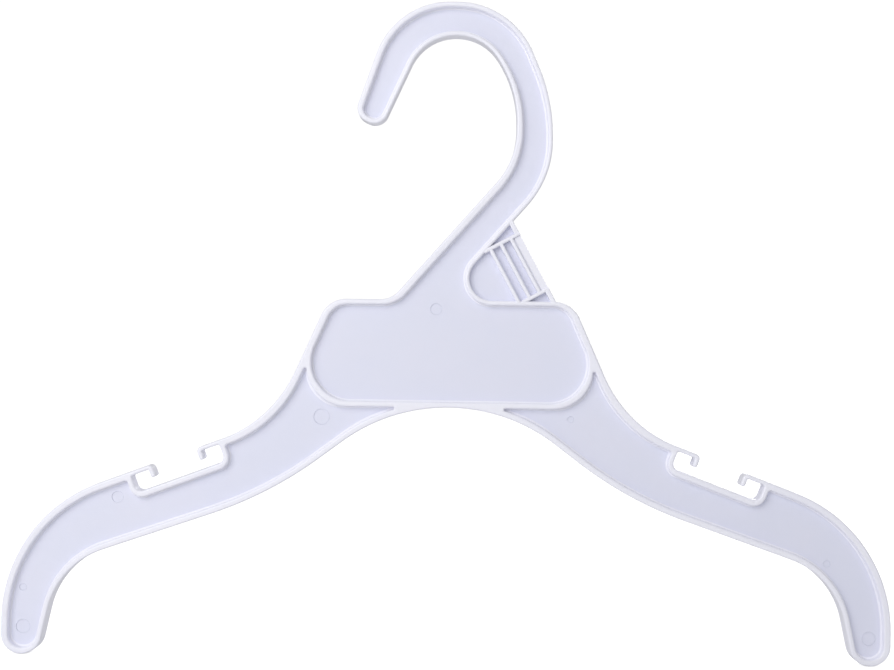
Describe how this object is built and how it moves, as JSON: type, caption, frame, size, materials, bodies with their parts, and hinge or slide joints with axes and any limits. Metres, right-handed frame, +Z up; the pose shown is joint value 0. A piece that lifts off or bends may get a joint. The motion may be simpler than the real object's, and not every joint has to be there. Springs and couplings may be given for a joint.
{
  "type": "child's top hanger",
  "caption": "One-piece moulded plastic top hanger: fixed open hook, rounded label plaque, strap notches with hooked catches, sizer bay, thin web with crowned rims.",
  "frame": {"origin": "centre of the rail that the hook hangs on, at mid thickness", "axes": "+Z up, X along the arms, Y through the thickness; the front faces -Y and the hook opens towards -X"},
  "size_m": [0.305, 0.0066, 0.2258],
  "materials": {
    "rim_plastic": "polished white with a faint lilac cast",
    "web_plastic": "satin white with a fine mould texture"
  },
  "bodies": {
    "root": {"hook_outer_rim": "rim_plastic", "hook_tip_rim": "rim_plastic", "hook_inner_rim": "rim_plastic", "neck_left_rim": "rim_plastic", "neck_right_rim": "rim_plastic", "sizer_bay_rim": "rim_plastic", "left_plaque_rim": "rim_plastic", "right_plaque_rim": "rim_plastic", "left_plaque_rib": "rim_plastic", "right_plaque_rib": "rim_plastic", "arch_rim": "rim_plastic", "left_shoulder_rim": "rim_plastic", "right_shoulder_rim": "rim_plastic", "left_arm_top_rim": "rim_plastic", "right_arm_top_rim": "rim_plastic", "left_arm_end_rim": "rim_plastic", "right_arm_end_rim": "rim_plastic", "left_arm_under_rim": "rim_plastic", "right_arm_under_rim": "rim_plastic", "left_strap_seat": "rim_plastic", "right_strap_seat": "rim_plastic", "left_inner_catch": "rim_plastic", "left_outer_catch": "rim_plastic", "right_inner_catch": "rim_plastic", "right_outer_catch": "rim_plastic", "sizer_upper_rib": "rim_plastic", "sizer_lower_rib": "rim_plastic", "sizer_inner_bar": "rim_plastic", "sizer_middle_bar": "rim_plastic", "sizer_outer_bar": "rim_plastic", "sizer_upper_edge": "rim_plastic", "sizer_lower_edge": "rim_plastic", "sizer_rail": "rim_plastic", "hook_web": "web_plastic", "neck_web": "web_plastic", "plaque_web": "web_plastic", "left_arm_web": "web_plastic", "right_arm_web": "web_plastic", "sizer_web": "web_plastic"}
  },
  "joints": []
}
